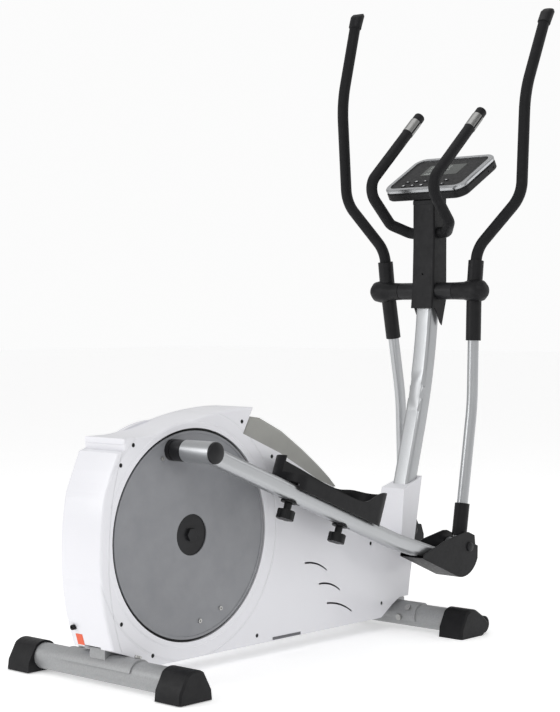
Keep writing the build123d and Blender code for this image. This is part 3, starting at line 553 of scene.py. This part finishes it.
def painted_shadow_ring(hand):
    """Dark ring of painted shade behind the gap between a cover disc and the housing, where there is only shadow.
    """
    mesh = bpy.data.meshes.new("painted_shadow_ring")
    work = bmesh.new()
    section = (
        (SHADE_RING_INNER, SHADE_RING_NEAR), (SHADE_RING_OUTER, SHADE_RING_NEAR), (SHADE_RING_OUTER, SHADE_RING_FAR), (SHADE_RING_INNER, SHADE_RING_FAR)
    )
    loops = []
    for k in range(SHADE_RING_STEPS):
        turn = 2 * pi * k / SHADE_RING_STEPS
        around = Vector((cos(turn), 0, sin(turn)))
        ring = []
        for radius, out in section:
            ring.append(work.verts.new(CRANK + around * radius * MM + Vector((0, SIDE[hand] * out * MM, 0))))
        loops.append(ring)
    for k in range(SHADE_RING_STEPS):
        here, after = loops[k], loops[(k + 1) % SHADE_RING_STEPS]
        for j in range(4):
            work.faces.new((here[j], here[(j + 1) % 4], after[(j + 1) % 4], after[j]))
    bmesh.ops.recalc_face_normals(work, faces=work.faces)
    work.to_mesh(mesh)
    work.free()
    # painted shade: near-black colour standing in for the shadow in the gap
    painted_gap_shade = Recipe(f"felt_{hand}", Sheen_Weight=0.3)
    painted_gap_shade.colour((0.008, 0.008, 0.008), (0.015, 0.015, 0.015), painted_gap_shade.spread(painted_gap_shade.noise(0.002, 4), 0, 1))
    painted_gap_shade.rough(painted_gap_shade.noise(0.004, 3), 0.8, 0.95)
    painted_gap_shade.relief((painted_gap_shade.noise(0.0006, 3), 0.0002))
    piece_of(f"painted_shadow_ring_{hand}", mesh, "base", painted_gap_shade.material)


# rubber strip in mm: distances from the crank, the centre plane and the floor, and half sizes
STRIP_AHEAD, STRIP_OUT, STRIP_HEIGHT = 320, 67.2, 43
STRIP_LONG, STRIP_UP, STRIP_DEEP = 50, 3.5, 0.5


def belly_strip(hand):
    """Dark rubber strip let into the lower edge of the housing side."""
    centre = Vector((CRANK.x + STRIP_AHEAD * MM, SIDE[hand] * STRIP_OUT * MM, STRIP_HEIGHT * MM))
    half = (Vector((STRIP_LONG, 0, 0)) * MM, Vector((0, 0, STRIP_UP)) * MM, Vector((0, STRIP_DEEP, 0)) * MM)
    slate = ink(f"slate_{hand}", (0.10, 0.10, 0.11), (0.13, 0.13, 0.14))
    round_edges(piece_of(f"belly_strip_{hand}", slabs([(centre, *half)]), "base", slate), 0.4 * MM)


display_figures()
key_marks()
for hand in reversed(HANDS):
    belly_strip(hand)
blank_plate()
# rings of painted shadow in the gaps around both cover discs
for hand in HANDS:
    painted_shadow_ring(hand)


# room, lights and camera ----------------------------------------------------------------------------
def pale_floor():
    skin = Recipe("floor", Emission_Color=(1, 1, 1, 1), Emission_Strength=0.36)
    skin.colour((0.95, 0.95, 0.95), (0.96, 0.96, 0.96), skin.spread(skin.noise(0.4, 3), 0, 1))
    skin.rough(skin.noise(0.2, 3), 0.6, 0.8)
    return skin.material


def stage_floor(half):
    mesh = bpy.data.meshes.new("floor")
    corners = [(-half, -half, 0), (half, -half, 0), (half, half, 0), (-half, half, 0)]
    mesh.from_pydata(corners, [], [(0, 1, 2, 3)])
    mesh.materials.append(pale_floor())
    floor = bpy.data.objects.new("floor", mesh)
    bpy.context.scene.collection.objects.link(floor)


def soft_light(name, place, target, size, power):
    lamp = bpy.data.lights.new(name, "AREA")
    lamp.shape = "RECTANGLE"
    lamp.size, lamp.size_y = size
    lamp.energy = power
    light = bpy.data.objects.new(name, lamp)
    light.location = place
    light.rotation_mode = "QUATERNION"
    light.rotation_quaternion = (Vector(target) - Vector(place)).to_track_quat("-Z", "Y")
    bpy.context.scene.collection.objects.link(light)


def make_world(strength, backdrop):
    """Even white room: one strength lights the object, the other is the paper seen behind it."""
    world = bpy.data.worlds.new("studio")
    world.use_nodes = True
    tree = world.node_tree
    light = tree.nodes["Background"]
    paper = tree.nodes.new("ShaderNodeBackground")
    for shader, level in ((light, strength), (paper, backdrop)):
        shader.inputs["Color"].default_value = (1.0, 1.0, 1.0, 1)
        shader.inputs["Strength"].default_value = level
    mix = tree.nodes.new("ShaderNodeMixShader")
    path = tree.nodes.new("ShaderNodeLightPath")
    tree.links.new(path.outputs["Is Camera Ray"], mix.inputs["Fac"])
    tree.links.new(light.outputs["Background"], mix.inputs[1])
    tree.links.new(paper.outputs["Background"], mix.inputs[2])
    tree.links.new(mix.outputs["Shader"], tree.nodes["World Output"].inputs["Surface"])
    bpy.context.scene.world = world


def make_camera(place, azimuth, elevation, lens):
    data = bpy.data.cameras.new("camera")
    data.lens = lens
    data.clip_end = 100
    camera = bpy.data.objects.new("camera", data)
    a, e = radians(azimuth), radians(elevation)
    ahead = Vector((-sin(a) * cos(e), cos(a) * cos(e), -sin(e)))
    camera.location = place
    camera.rotation_mode = "QUATERNION"
    camera.rotation_quaternion = ahead.to_track_quat("-Z", "Y")
    bpy.context.scene.collection.objects.link(camera)
    bpy.context.scene.camera = camera


bpy.context.scene.view_settings.view_transform = "Standard"
stage_floor(half=30)
make_world(strength=0.62, backdrop=0.97)
soft_light("key", (-2.6, -2.2, 3.4), (0, 0, 0.6), (2.0, 1.4), 30)
soft_light("side", (-3.2, 1.8, 1.6), (0, 0, 0.7), (1.4, 1.8), 26)
soft_light("top", (0.4, 0.3, 3.8), (0.1, 0, 0.5), (2.4, 2.4), 20)
soft_light("front", (3.0, -1.6, 1.9), (0.3, 0, 0.8), (1.2, 1.8), 6)
make_camera((-3.1339, -2.7869, 0.8099), azimuth=-47.629, elevation=1.327, lens=85.57)
